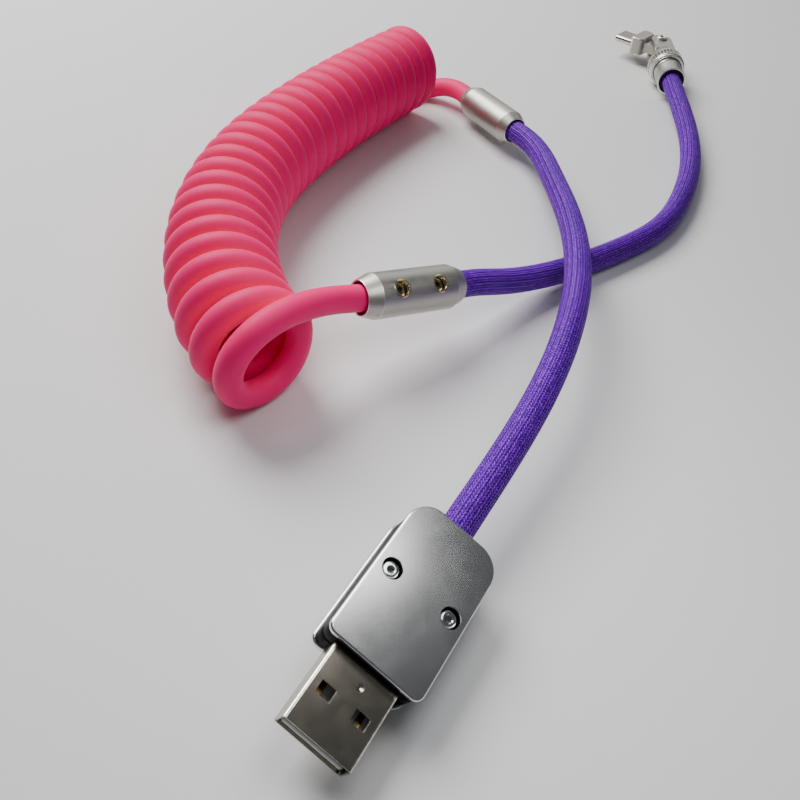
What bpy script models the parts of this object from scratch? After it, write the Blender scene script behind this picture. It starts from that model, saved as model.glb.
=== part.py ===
"""Coiled USB lead for a mechanical keyboard, as it lies on a desk.

Two sleeved leads and one coiled lead are clamped end to end by two metal joiners.
One end is a USB-A plug in a clamshell of two metal plates over a black plastic core.
The other end is a USB-C plug on a metal swivel that turns about the cable and folds sideways.

The origin is on the desk, under the middle of the plugs and joiners. +Z is up, +Y runs from
the USB-A plug to the USB-C plug, and all the sizes below are in millimetres.
"""
import math

import bmesh
import bpy
import numpy as np
from mathutils import Matrix, Vector

MM = 0.001                      # the scene is in metres
GAP = 0.3                       # air between two pieces that would touch
ROUND = 32                      # sides of a round piece
SMALL_ROUND = 20                # sides of a screw or a hole
MERGE = 0.01                    # points closer than this are one point

# Cords
SLEEVE_R = 3.0                  # braided sleeve
COIL_CORD_R = 2.8               # soft cord of the coil
COIL_R = 12.3                   # outer radius of the coil
CORD_STEP = 9.0                 # distance between the points of a tube
COIL_STEP = 12.0

# USB-A plug: x across, y from the mouth to the cable, z from the shell's lower face
SHELL_W, SHELL_H, SHELL_WALL, SHELL_OUT = 12.0, 4.5, 0.3, 12.2
SHELL_LEN = 18.5                # the last part of it is inside the core
BODY_W, BODY_LEN = 17.0, 27.0
BODY_MID, BODY_H = 2.45, 8.8    # the height of the body's middle, and its thickness
PLATE_T = 1.0
FRONT_R, REAR_R = 1.5, 4.5      # corners of the plates
SCREW_X, SCREW_Y = 5.7, 25.7
SCREW_HOLE_R = 1.75
BODY_REAR = SHELL_OUT + BODY_LEN

# Joiners
JOINER_R, JOINER_LEN, JOINER_CONE, JOINER_END_R = 4.8, 25.0, 3.0, 3.75
JOINER_BORE_R = 3.4
JOINER_HOLE_Y = 4.8             # the two clamp holes are this far each side of the middle
CORD_IN_JOINER = 9.5

# USB-C plug: y from the mouth that the cable enters
COLLAR_LEN, COLLAR_R, STEM_R = 8.4, 4.6, 2.6
RING_R, RING_LEN, RING_TEETH = 6.0, 6.0, 24
FORK_BASE_LEN, FORK_NECK_R = 6.3, 3.5
PIVOT_Y = 28.7
FORK_H, FORK_SLOT = 7.6, 3.8    # height over both arms, and the slot between them
PIN_R = 1.0
HEAD_W, HEAD_H, HEAD_FROM, HEAD_TO = 10.6, 6.0, 4.6, 9.6
C_SHELL_W, C_SHELL_H, C_SHELL_OUT = 8.25, 2.4, 6.5

# Where the pieces lie
USB_A_PLACE = (-44.3, -137.6, 4.8)
USB_A_TURN = (2.3, 24.5, -26.1)             # nose down, right side down, heading; degrees
USB_C_PLACE = (43.2, 99.6, 6.3)
USB_C_REST_ANGLE = 54.4                     # the folded head, to the left of the cable
JOINER_1 = ((-12.1, 47.0, 7.4), (-25.7, 68.0, 6.2))     # sleeve end, coil end
JOINER_2 = ((-27.8, -39.2, 12.4), (-47.4, -53.9, 17.3))
JOINER_1_TURN, JOINER_2_TURN = 150.0, -42.5  # where the clamp holes face, about the axis

# Routes, along the middle of each cord
SLEEVE_A_ROUTE = (
    (-27.5, -105.6, 8.5), (-26.2, -102.95, 8.6), (-24.5, -99.5, 8.8), (-8.6, -65.0, 12.8),
    (-2.6, -42.0, 15.2), (-1.0, -17.0, 14.4), (-3.6, 18.0, 10.2), (-9.9, 43.65, 7.6),
    (-12.1, 47.0, 7.4), (-17.3, 55.0, 6.95),
)
SLEEVE_B_ROUTE = (
    (-35.25, -44.8, 14.25), (-27.8, -39.2, 12.4), (-24.3, -36.5, 11.5), (-17.4, -30.6, 8.5),
    (-4.7, -19.9, 4.7), (14.5, -3.4, 3.2), (24.8, 7.0, 3.2), (35.5, 27.0, 3.5), (41.4, 48.0, 4.0),
    (43.6, 72.0, 5.0), (43.2, 95.0, 6.2), (43.2, 99.6, 6.3), (43.2, 107.2, 6.3),
)
TAIL_1_ROUTE = (
    (-36.4, 76.6, 8.5), (-31.7, 73.4, 7.8), (-28.2, 70.8, 6.9), (-25.7, 68.0, 6.2),
    (-20.55, 60.05, 6.65),
)
TAIL_2_ROUTE = (
    (-52.4, -58.2, 19.3), (-50.2, -56.1, 18.3), (-47.4, -53.9, 17.3), (-39.95, -48.3, 15.45),
)
COIL_ROUTE = (
    (-58.9, -71.6, COIL_R), (-66.8, -64.3, COIL_R), (-74.6, -51.0, COIL_R), (-80.4, -30.5, COIL_R),
    (-80.3, -6.0, COIL_R), (-72.6, 21.0, COIL_R), (-60.0, 48.5, COIL_R), (-44.2, 76.5, COIL_R),
)

COLOURS = {                     # linear colour, roughness, metallic
    "satin_aluminium": ((0.56, 0.56, 0.55), 0.35, 1.0),
    "plug_steel": ((0.38, 0.36, 0.32), 0.25, 1.0),
    "screw_steel": ((0.5, 0.5, 0.5), 0.2, 1.0),
    "brass": ((0.55, 0.42, 0.16), 0.3, 1.0),
    "gold": ((0.85, 0.6, 0.2), 0.25, 1.0),
    "black_plastic": ((0.012, 0.012, 0.013), 0.15, 0.0),
    "white_plastic": ((0.7, 0.7, 0.68), 0.45, 0.0),
    "green_board": ((0.01, 0.12, 0.05), 0.4, 0.0),
    "rubber": ((0.015, 0.015, 0.015), 0.8, 0.0),
    "purple_braid": ((0.13, 0.02, 0.55), 0.75, 0.0),
    "pink_cord": ((0.9, 0.07, 0.2), 0.6, 0.0),
    "cable_jacket": ((0.05, 0.05, 0.05), 0.6, 0.0),
}


def make_materials():
    """One plain Principled material for each finish."""
    made = {}
    for name, (colour, roughness, metallic) in COLOURS.items():
        material = bpy.data.materials.new(name)
        material.use_nodes = True
        shader = material.node_tree.nodes["Principled BSDF"]
        shader.inputs["Base Color"].default_value = (*colour, 1.0)
        shader.inputs["Roughness"].default_value = roughness
        shader.inputs["Metallic"].default_value = metallic
        made[name] = material
    return made


def add_frame(name, place, turn=(0.0, 0.0, 0.0), parent=None):
    """An empty that carries a group of pieces. turn is about X, Y and Z, in degrees, Y first."""
    empty = bpy.data.objects.new(name, None)
    empty.rotation_mode = "YXZ"
    empty.rotation_euler = [math.radians(angle) for angle in turn]
    empty.location = Vector(place) * MM
    empty.parent = parent
    bpy.context.scene.collection.objects.link(empty)
    return empty


def frame_along(name, start, end, turn=0.0):
    """An empty at start whose +Y points at end, turned about that axis by turn degrees."""
    direction = Vector(end) - Vector(start)
    heading = math.degrees(math.atan2(-direction.x, direction.y))
    rise = math.degrees(math.asin(direction.z / direction.length))
    return add_frame(name, start, (rise, turn, heading))


def add_piece(name, mesh_builder, material, frame=None, smooth=True):
    """Turn a bmesh made in millimetres into a named object."""
    bmesh.ops.recalc_face_normals(mesh_builder, faces=mesh_builder.faces)
    mesh = bpy.data.meshes.new(name)
    mesh_builder.transform(Matrix.Scale(MM, 4))
    mesh_builder.to_mesh(mesh)
    mesh_builder.free()
    if smooth:
        mesh.shade_smooth()
        mesh.set_sharp_from_angle(angle=math.radians(35))
    mesh.materials.append(MATERIALS[material] if material else None)
    piece = bpy.data.objects.new(name, mesh)
    piece.parent = frame
    bpy.context.scene.collection.objects.link(piece)
    return piece


def rounded_outline(width, y_from, y_to, front_r, rear_r, steps=6):
    """Points of a rectangle with round corners, front corners first, anticlockwise."""
    corners = (
        (width / 2 - front_r, y_from + front_r, front_r, -90),
        (width / 2 - rear_r, y_to - rear_r, rear_r, 0),
        (-width / 2 + rear_r, y_to - rear_r, rear_r, 90),
        (-width / 2 + front_r, y_from + front_r, front_r, 180),
    )
    points = []
    for x, y, radius, first in corners:
        for step in range(steps + 1):
            angle = math.radians(first + 90 * step / steps)
            points.append((x + radius * math.cos(angle), y + radius * math.sin(angle)))
    return points


def slab(outline, z_from, z_to):
    """A flat piece: an outline in x and y, extruded from z_from to z_to."""
    builder = bmesh.new()
    face = builder.faces.new([builder.verts.new((x, y, z_from)) for x, y in outline])
    raised = bmesh.ops.extrude_face_region(builder, geom=[face])["geom"]
    bmesh.ops.translate(
        builder, verts=[v for v in raised if isinstance(v, bmesh.types.BMVert)],
        vec=(0, 0, z_to - z_from))
    return builder


def block(x_from, x_to, y_from, y_to, z_from, z_to):
    """A plain box."""
    outline = ((x_from, y_from), (x_to, y_from), (x_to, y_to), (x_from, y_to))
    return slab(outline, z_from, z_to)


def turned(profile, sides=ROUND, closed=True):
    """A profile of (radius, y) points spun about the Y axis. A closed profile makes a ring."""
    builder = bmesh.new()
    verts = [builder.verts.new((radius, y, 0)) for radius, y in profile]
    pairs = list(zip(verts, verts[1:])) + ([(verts[-1], verts[0])] if closed else [])
    edges = [builder.edges.new(pair) for pair in pairs]
    bmesh.ops.spin(
        builder, geom=verts + edges, cent=(0, 0, 0), axis=(0, 1, 0),
        angle=2 * math.pi, steps=sides, use_merge=True)
    bmesh.ops.remove_doubles(builder, verts=builder.verts, dist=MERGE)
    return builder


def rod(radius, length, sides=SMALL_ROUND):
    """A solid cylinder that starts at the origin and runs along +Y."""
    return turned(((0, 0), (radius, 0), (radius, length), (0, length)), sides, closed=False)


def moved(builder, place=(0, 0, 0), quarter_x=0, quarter_y=0):
    """Turn a bmesh by quarter turns about Y and then X, and move it."""
    turn = Matrix.Rotation(quarter_x * math.pi / 2, 4, "X")
    turn = turn @ Matrix.Rotation(quarter_y * math.pi / 2, 4, "Y")
    builder.transform(Matrix.Translation(place) @ turn)
    return builder


def cut(piece, builders, frame=None):
    """Cut the shapes out of the piece with exact Booleans."""
    for number, builder in enumerate(builders):
        cutter = add_piece(f"cutter_{piece.name}_{number}", builder, None, frame)
        cutter.hide_render = True
        cutter.display_type = "WIRE"
        boolean = piece.modifiers.new(f"cut_{number}", "BOOLEAN")
        boolean.operation = "DIFFERENCE"
        boolean.solver = "EXACT"
        boolean.object = cutter


def ease_edges(piece, width, segments=2, angle=40):
    """Round the piece's sharp edges."""
    bevel = piece.modifiers.new("eased_edges", "BEVEL")
    bevel.width = width * MM
    bevel.segments = segments
    bevel.limit_method = "ANGLE"
    bevel.angle_limit = math.radians(angle)


def smooth_route(route, step):
    """Points about a step apart on a natural cubic spline through the route."""
    knots = np.array(route, float)
    count = len(knots)
    gaps = np.linalg.norm(np.diff(knots, axis=0), axis=1)
    at = np.concatenate(([0.0], np.cumsum(gaps)))
    matrix = np.eye(count)
    right = np.zeros((count, 3))
    for i in range(1, count - 1):
        before, after = gaps[i - 1], gaps[i]
        matrix[i, i - 1:i + 2] = before, 2 * (before + after), after
        slope_after = (knots[i + 1] - knots[i]) / after
        right[i] = 6 * (slope_after - (knots[i] - knots[i - 1]) / before)
    bend = np.linalg.solve(matrix, right)
    points = []
    for s in np.linspace(0.0, at[-1], max(2, round(at[-1] / step) + 1)):
        i = min(int(np.searchsorted(at, s, side="right")) - 1, count - 2)
        a, b = (at[i + 1] - s) / gaps[i], (s - at[i]) / gaps[i]
        curl = ((a ** 3 - a) * bend[i] + (b ** 3 - b) * bend[i + 1]) * gaps[i] ** 2 / 6
        points.append(a * knots[i] + b * knots[i + 1] + curl)
    return points


def add_cord(name, route, radius, step, material, resolution):
    """A plain tube along a smooth route."""
    curve = bpy.data.curves.new(name, "CURVE")
    curve.dimensions = "3D"
    curve.bevel_depth = radius * MM
    curve.bevel_resolution = resolution
    curve.use_fill_caps = True
    points = smooth_route(route, step)
    spline = curve.splines.new("POLY")
    spline.points.add(len(points) - 1)
    for spot, point in zip(spline.points, points):
        spot.co = (*(point * MM), 1.0)
    curve.materials.append(MATERIALS[material])
    cord = bpy.data.objects.new(name, curve)
    bpy.context.scene.collection.objects.link(cord)
    return cord


def screw(name, frame, x, y, head_r, head_top, head_t, shank_r, shank_end, material):
    """A pan-head screw along local Z with a hexagon socket in its head."""
    shank_top = head_top - head_t
    profile = (
        (0, shank_end), (shank_r, shank_end), (shank_r, shank_top), (head_r, shank_top),
        (head_r, head_top - 0.35), (head_r - 0.3, head_top), (0, head_top))
    piece = add_piece(
        name, moved(turned(profile, SMALL_ROUND, closed=False), (x, y, 0), quarter_x=1),
        material, frame)
    socket = moved(rod(head_r * 0.45, head_t * 0.6 + 1, 6), (x, y, head_top - head_t * 0.6), 1)
    cut(piece, [socket], frame)
    return piece


def usb_a_shell(frame):
    """Folded steel tube with two windows above and two below, and a stamped dimple."""
    corner = 0.6
    outer = rounded_outline(SHELL_W, 0, SHELL_H, corner, corner, 3)
    inner_w, inner_h = SHELL_W - 2 * SHELL_WALL, SHELL_H - 2 * SHELL_WALL
    inner = rounded_outline(inner_w, SHELL_WALL, SHELL_WALL + inner_h, 0.3, 0.3, 3)
    to_end = Matrix(((1, 0, 0, 0), (0, 0, 1, 0), (0, 1, 0, 0), (0, 0, 0, 1)))
    body = slab(outer, 0, SHELL_LEN)
    body.transform(to_end)
    hollow = slab(inner, -1, SHELL_LEN + 1)
    hollow.transform(to_end)
    shell = add_piece("usb_a_shell", body, "plug_steel", frame)
    window_w, window_l, window_x, window_y = 2.5, 2.0, 3.07, 5.1
    cutters = [hollow]
    for side in (-1, 1):
        x = side * window_x
        cutters.append(block(
            x - window_w / 2, x + window_w / 2, window_y, window_y + window_l, -1, SHELL_H + 1))
    dimple = bmesh.new()
    bmesh.ops.create_uvsphere(dimple, u_segments=16, v_segments=12, radius=1.2)
    cutters.append(moved(dimple, (0.6, 9.6, SHELL_H + 1.05)))
    cut(shell, cutters, frame)


def usb_a_inside(frame):
    """Contact carrier, four contacts, circuit board, inner cable and its crimp ring."""
    tongue_top = 1.75
    tongue = add_piece(
        "usb_a_tongue", block(-5.3, 5.3, 0.4, 18.0, SHELL_WALL + GAP, tongue_top), "white_plastic", frame)
    ease_edges(tongue, 0.2, 1)
    contact_z, contact_t, contact_w = tongue_top + GAP, 0.2, 1.0
    for number, (x, front) in enumerate(((-3.5, 1.2), (-1.0, 2.2), (1.0, 2.2), (3.5, 1.2)), 1):
        contact = add_piece(
            f"usb_a_contact_{number}",
            block(x - contact_w / 2, x + contact_w / 2, front, 18.2, contact_z, contact_z + contact_t),
            "gold", frame)
        ease_edges(contact, 0.06, 1)
    board = block(-3.2, 3.2, 19.0, 30.0, 2.05, 2.85)
    add_piece("usb_a_board", board, "green_board", frame, smooth=False)
    cable_end, crimp_end = 35.9, 35.0
    inner = moved(rod(1.25, cable_end - 30.3), (0, 30.3, BODY_MID))
    add_piece("usb_a_inner_cable", inner, "cable_jacket", frame)
    crimp = turned(((1.55, 31.5), (2.05, 31.5), (2.05, crimp_end), (1.55, crimp_end)), SMALL_ROUND)
    add_piece("usb_a_crimp_ring", moved(crimp, (0, 0, BODY_MID)), "satin_aluminium", frame)


def screw_holes(radius, z_from, z_to):
    """Cutters for the two screws of the USB-A plug."""
    places = [(side * SCREW_X, SCREW_Y, z_from) for side in (-1, 1)]
    return [moved(rod(radius, z_to - z_from), place, 1) for place in places]


def usb_a_body(frame):
    """Two black core halves between two metal plates, held by two screws."""
    plate_outline = rounded_outline(BODY_W, SHELL_OUT, BODY_REAR, FRONT_R, REAR_R)
    inset = 0.25
    core_outline = rounded_outline(
        BODY_W - 2 * inset, SHELL_OUT + inset, BODY_REAR - inset, FRONT_R, REAR_R)
    top, bottom = BODY_MID + BODY_H / 2, BODY_MID - BODY_H / 2
    core_top, core_bottom = top - PLATE_T - GAP, bottom + PLATE_T + GAP
    top_plate = add_piece(
        "usb_a_top_plate", slab(plate_outline, top - PLATE_T, top), "satin_aluminium", frame)
    ease_edges(top_plate, 0.35)
    cut(top_plate, screw_holes(SCREW_HOLE_R, top - 2, top + 1), frame)
    bottom_plate = add_piece(
        "usb_a_bottom_plate", slab(plate_outline, bottom, bottom + PLATE_T), "satin_aluminium", frame)
    ease_edges(bottom_plate, 0.35)
    cut(bottom_plate, screw_holes(1.15, bottom - 1, bottom + 2), frame)

    seat = 4.2                  # where the screw heads sit in the upper half
    halves = (("usb_a_core_upper", BODY_MID + GAP / 2, core_top),
              ("usb_a_core_lower", core_bottom, BODY_MID - GAP / 2))
    for name, z_from, z_to in halves:
        half = add_piece(name, slab(core_outline, z_from, z_to), "black_plastic", frame)
        ease_edges(half, 0.3, 1)
        cuts = [
            block(-6.3, 6.3, SHELL_OUT - 1, SHELL_LEN + GAP, -GAP, SHELL_H + GAP),
            block(-3.6, 3.6, SHELL_LEN, 35.6, -GAP, SHELL_H + GAP),
            moved(rod(SLEEVE_R + GAP, 5, ROUND), (0, 35.5, BODY_MID)),
            *screw_holes(1.2, core_bottom - 1, core_top + 1)]
        if z_to > seat:
            cuts += screw_holes(SCREW_HOLE_R, seat, core_top + 1)
        cut(half, cuts, frame)

    for number, side in enumerate((-1, 1), 1):
        screw(f"usb_a_screw_{number}", frame, side * SCREW_X, SCREW_Y,
              head_r=1.4, head_top=top - 0.7, head_t=top - 0.7 - seat - GAP,
              shank_r=0.8, shank_end=bottom + 0.2, material="screw_steel")


def joiner(number, ends, turn):
    """Turned barrel that clamps a sleeve to the coil cord with two set screws."""
    frame = frame_along(f"joiner_{number}_frame", *ends, turn)
    cone, end_r, bore = JOINER_CONE, JOINER_END_R, JOINER_BORE_R
    profile = (
        (bore, 0), (end_r, 0), (JOINER_R, cone), (JOINER_R, JOINER_LEN - cone),
        (end_r, JOINER_LEN), (bore, JOINER_LEN))
    barrel = add_piece(f"joiner_{number}_barrel", turned(profile), "satin_aluminium", frame)
    insert_out, insert_in, screw_r = 1.95, 1.6, 1.25
    hole_ys = [JOINER_LEN / 2 + side * JOINER_HOLE_Y for side in (-1, 1)]
    cut(barrel, [moved(rod(insert_out + GAP, 5), (0, y, bore - 1), 1) for y in hole_ys], frame)
    for hole, y in enumerate(hole_ys, 1):
        insert = turned(((insert_in, 3.65), (insert_out, 3.65), (insert_out, 4.7), (insert_in, 4.7)),
                        SMALL_ROUND)
        add_piece(f"joiner_{number}_insert_{hole}", moved(insert, (0, y, 0), 1), "brass", frame)
        grub = add_piece(
            f"joiner_{number}_set_screw_{hole}",
            moved(rod(screw_r, 0.9), (0, y, SLEEVE_R + 0.35), 1), "screw_steel", frame)
        cut(grub, [moved(rod(0.55, 2, 6), (0, y, SLEEVE_R + 0.8), 1)], frame)
    splice_from = CORD_IN_JOINER + GAP
    splice = rod(2.0, JOINER_LEN - 2 * splice_from)
    add_piece(f"joiner_{number}_splice", moved(splice, (0, splice_from, 0)), "cable_jacket", frame)


def usb_c_swivel(frame):
    """Collar on the cable, rubber grommet, knurled ring and the fork that turns on the collar."""
    bore, mouth_r, mouth_deep = SLEEVE_R + 0.35, 4.1, 2.3
    stem_end, wire_r = COLLAR_LEN + 6.3, 1.4
    collar = turned((
        (mouth_r, 0), (4.75, 0), (4.75, 0.8), (4.5, 1.4), (COLLAR_R, 6.0), (COLLAR_R, COLLAR_LEN),
        (STEM_R, COLLAR_LEN), (STEM_R, stem_end), (wire_r, stem_end), (wire_r, 8.0), (bore, 8.0),
        (bore, mouth_deep), (mouth_r, mouth_deep)))
    add_piece("usb_c_collar", collar, "satin_aluminium", frame)
    grommet = turned(((bore, 0.3), (mouth_r - GAP, 0.3), (mouth_r - GAP, 2.0), (bore, 2.0)))
    add_piece("usb_c_grommet", grommet, "rubber", frame)

    base = COLLAR_LEN + GAP
    base_end = base + FORK_BASE_LEN
    ring_in, groove = 4.9, 0.35
    ring = turned((
        (ring_in, base), (RING_R - 0.5, base), (RING_R, base + 0.5), (RING_R, base + RING_LEN - 0.5),
        (RING_R - 0.5, base + RING_LEN), (ring_in, base + RING_LEN)), RING_TEETH * 2)
    for vert in ring.verts:     # every other column of the rim is a groove of the knurl
        radius = math.hypot(vert.co.x, vert.co.z)
        column = round(math.atan2(vert.co.z, vert.co.x) / math.pi * RING_TEETH)
        if radius > RING_R - 0.1 and column % 2:
            vert.co.x *= (radius - groove) / radius
            vert.co.z *= (radius - groove) / radius
    add_piece("usb_c_knurled_ring", ring, "satin_aluminium", frame, smooth=False)

    slot_from = 22.0
    fork = turned((
        (STEM_R + GAP, base), (COLLAR_R, base), (COLLAR_R, base_end + 0.3), (5.4, base_end + 0.3),
        (5.4, base_end + 1.2), (FORK_NECK_R + 0.6, 20.5), (FORK_NECK_R + 0.4, 21.5), (0, 21.5),
        (0, base_end + GAP), (STEM_R + GAP, base_end + GAP)), closed=False)
    arm_outline = rounded_outline(2 * FORK_NECK_R, 20.0, PIVOT_Y + FORK_NECK_R, 0.5, FORK_NECK_R - 0.01)
    fork_piece = add_piece("usb_c_fork", close_profile(fork), "satin_aluminium", frame)
    arms = add_piece(
        "cutter_usb_c_arms", slab(arm_outline, -FORK_H / 2, FORK_H / 2), "satin_aluminium", frame)
    arms.hide_render = True
    arms.display_type = "WIRE"
    union = fork_piece.modifiers.new("arms", "BOOLEAN")
    union.operation = "UNION"
    union.solver = "EXACT"
    union.object = arms
    cut(fork_piece, [
        block(-8, 8, slot_from, PIVOT_Y + 8, -FORK_SLOT / 2, FORK_SLOT / 2),
        moved(rod(PIN_R + GAP, 20), (0, PIVOT_Y, -10), 1),
        moved(rod(wire_r, 10), (0, 14, 0))], frame)

    head_r, head_t = 1.9, 0.8
    screw("usb_c_pivot_screw", frame, 0, PIVOT_Y, head_r=head_r, head_top=FORK_H / 2 + GAP + head_t,
          head_t=head_t, shank_r=PIN_R, shank_end=-FORK_H / 2 + 0.1, material="screw_steel")


def close_profile(builder):
    """Join the two ends of an open spun profile with a ring of faces."""
    rim = [edge for edge in builder.edges if edge.is_boundary]
    bmesh.ops.bridge_loops(builder, edges=rim)
    return builder


def usb_c_head(frame):
    """Folding head: housing with its hinge tongue, board, plug shell, insulator and contacts."""
    tongue_t = FORK_SLOT / 2 - GAP
    housing = add_piece(
        "usb_c_housing",
        slab(rounded_outline(HEAD_W, HEAD_FROM, HEAD_TO, 2.2, 1.2), -HEAD_H / 2, HEAD_H / 2),
        "satin_aluminium", frame)
    ease_edges(housing, 0.6)
    hinge_r = 3.3
    hinge_tongue = add_piece(
        "cutter_usb_c_tongue",
        slab(rounded_outline(2 * hinge_r, -hinge_r, HEAD_FROM + 1, hinge_r - 0.01, 0.3),
             -tongue_t, tongue_t),
        "satin_aluminium", frame)
    hinge_tongue.hide_render = True
    hinge_tongue.display_type = "WIRE"
    union = housing.modifiers.new("tongue", "BOOLEAN")
    union.operation = "UNION"
    union.solver = "EXACT"
    union.object = hinge_tongue
    pocket_from, shell_from = 5.4, 7.4
    cut(housing, [
        moved(rod(PIN_R + GAP, 10), (0, 0, -5), 1),
        block(-C_SHELL_W / 2 - GAP, C_SHELL_W / 2 + GAP, pocket_from, HEAD_TO + 1, -1.6, 1.6)], frame)

    add_piece("usb_c_board", block(-3.8, 3.8, 5.8, 7.0, -1.2, 1.2), "green_board", frame, smooth=False)

    to_end = Matrix(((1, 0, 0, 0), (0, 0, 1, 0), (0, 1, 0, 0), (0, 0, 0, 1)))
    shell_to = HEAD_TO + C_SHELL_OUT
    round_r = C_SHELL_H / 2 - 0.01
    outer = slab(rounded_outline(C_SHELL_W, -C_SHELL_H / 2, C_SHELL_H / 2, round_r, round_r), shell_from,
                 shell_to)
    outer.transform(to_end)
    inner_r = round_r - SHELL_WALL
    hollow = slab(rounded_outline(
        C_SHELL_W - 2 * SHELL_WALL, -C_SHELL_H / 2 + SHELL_WALL, C_SHELL_H / 2 - SHELL_WALL,
        inner_r, inner_r), shell_from - 1, shell_to + 1)
    hollow.transform(to_end)
    shell = add_piece("usb_c_shell", outer, "plug_steel", frame)
    cut(shell, [hollow], frame)

    insulator = block(-3.0, 3.0, shell_from + 0.2, shell_from + 2.8, -0.6, 0.6)
    add_piece("usb_c_insulator", insulator, "rubber", frame, smooth=False)
    contact_from = shell_from + 3.1
    for name, z in (("usb_c_contacts_upper", 0.4), ("usb_c_contacts_lower", -0.6)):
        strip = block(-2.8, 2.8, contact_from, shell_to - 1.2, z, z + 0.2)
        add_piece(name, strip, "gold", frame, smooth=False)


for old in list(bpy.data.objects):
    bpy.data.objects.remove(old)
MATERIALS = make_materials()

usb_a_frame = add_frame("usb_a_frame", USB_A_PLACE, USB_A_TURN)
usb_a_shell(usb_a_frame)
usb_a_inside(usb_a_frame)
usb_a_body(usb_a_frame)

joiner(1, JOINER_1, JOINER_1_TURN)
joiner(2, JOINER_2, JOINER_2_TURN)

usb_c_frame = add_frame("usb_c_frame", USB_C_PLACE)
usb_c_swivel(usb_c_frame)
head_frame = add_frame("usb_c_head_frame", (0, PIVOT_Y, 0), (0, 0, USB_C_REST_ANGLE), usb_c_frame)
usb_c_head(head_frame)

add_cord("sleeve_a", SLEEVE_A_ROUTE, SLEEVE_R, CORD_STEP, "purple_braid", 4)
add_cord("sleeve_b", SLEEVE_B_ROUTE, SLEEVE_R, CORD_STEP, "purple_braid", 4)
add_cord("coil_tail_1", TAIL_1_ROUTE, COIL_CORD_R, CORD_STEP, "pink_cord", 4)
add_cord("coil_tail_2", TAIL_2_ROUTE, COIL_CORD_R, CORD_STEP, "pink_cord", 4)
add_cord("coil", COIL_ROUTE, COIL_R, COIL_STEP, "pink_cord", 8)
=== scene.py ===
"""Coiled keyboard cable, laid in a loop on a desk.

A braided lead with a USB-A plug, a coiled pink cord and a second braided lead with a folding
USB-C plug are clamped end to end by two metal joiners. Places are in metres, and the sizes
of pieces are in millimetres times MM. +Z is up and +Y runs from the USB-A to the USB-C plug.
"""
import math

import bmesh
import bpy
import numpy as np
from mathutils import Matrix, Vector


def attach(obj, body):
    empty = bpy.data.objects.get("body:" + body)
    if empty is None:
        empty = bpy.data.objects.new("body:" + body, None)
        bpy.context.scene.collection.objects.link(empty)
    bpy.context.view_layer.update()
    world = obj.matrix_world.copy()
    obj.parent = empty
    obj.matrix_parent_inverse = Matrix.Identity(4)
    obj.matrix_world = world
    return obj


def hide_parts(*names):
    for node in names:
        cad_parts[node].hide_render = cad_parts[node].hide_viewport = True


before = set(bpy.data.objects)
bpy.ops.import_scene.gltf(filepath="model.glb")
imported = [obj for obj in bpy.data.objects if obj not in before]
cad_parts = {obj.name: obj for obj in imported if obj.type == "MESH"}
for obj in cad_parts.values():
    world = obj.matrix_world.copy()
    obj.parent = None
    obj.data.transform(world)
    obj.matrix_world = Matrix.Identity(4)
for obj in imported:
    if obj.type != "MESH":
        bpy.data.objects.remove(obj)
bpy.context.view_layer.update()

MM = 0.001


# ---- Camera
# It stands low over the USB-A plug and looks along the cable, tilted 45 degrees down and
# leaning a little to one side, with a 53 degree field of view.
camera = bpy.data.objects.new("camera", bpy.data.cameras.new("camera"))
camera.data.lens = 36.45
camera.data.sensor_width = 36.0
camera.data.clip_start = 0.005
camera.location = Vector((-37.0, -182.0, 116.5)) * MM
camera.rotation_mode = "ZYX"
camera.rotation_euler = (math.radians(45.45), 0.0, math.radians(6.46))
bpy.context.scene.collection.objects.link(camera)
bpy.context.scene.camera = camera


# ---- Desk and studio light
# A plain pale desk top and a dim pale room. One large soft lamp stands behind the coil on the
# left and a weaker one at the back, and a small one hangs close above the USB-A plug.
def lamp(name, place, aim, size, power, colour=(1.0, 1.0, 1.0)):
    """A square soft lamp at place that faces aim. It lights the scene without being seen."""
    light = bpy.data.lights.new(name, "AREA")
    light.size = size
    light.energy = power
    light.color = colour
    stand = bpy.data.objects.new(name, light)
    stand.location = place
    stand.rotation_euler = (Vector(aim) - Vector(place)).to_track_quat("-Z", "Y").to_euler()
    stand.visible_camera = False
    bpy.context.scene.collection.objects.link(stand)


def shader_node(tree, kind, inputs=None, **settings):
    """Add one node. inputs holds a number, a colour or another node's output for each socket."""
    made = tree.nodes.new("ShaderNode" + kind)
    for key, value in settings.items():
        setattr(made, key, value)
    for socket, value in (inputs or {}).items():
        if isinstance(value, bpy.types.NodeSocket):
            tree.links.new(value, made.inputs[socket])
        else:
            made.inputs[socket].default_value = value
    return made


def maths(tree, operation, *values):
    """Add a Math node on numbers or outputs, and give its own output."""
    return shader_node(tree, "Math", dict(enumerate(values)), operation=operation).outputs[0]


def blended_colour(tree, factor, first, second):
    """Mix two colours, each of them three numbers or an output, and give the result's output."""
    mix = shader_node(tree, "Mix", data_type="RGBA")
    tree.links.new(factor, mix.inputs["Factor"])
    ends = [socket for socket in mix.inputs if socket.type == "RGBA"]
    for end, colour in zip(ends, (first, second)):
        if isinstance(colour, bpy.types.NodeSocket):
            tree.links.new(colour, end)
        else:
            end.default_value = (*colour, 1.0)
    return [socket for socket in mix.outputs if socket.type == "RGBA"][0]


def new_material(name, **sockets):
    """A material whose Principled shader has these values on its own sockets."""
    material = bpy.data.materials.new(name)
    material.use_nodes = True
    shader = material.node_tree.nodes["Principled BSDF"]
    for key, value in sockets.items():
        socket = shader.inputs[key.replace("_", " ").title().replace("Ior", "IOR")]
        socket.default_value = (*value, 1.0) if isinstance(value, tuple) else value
    return material


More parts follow.
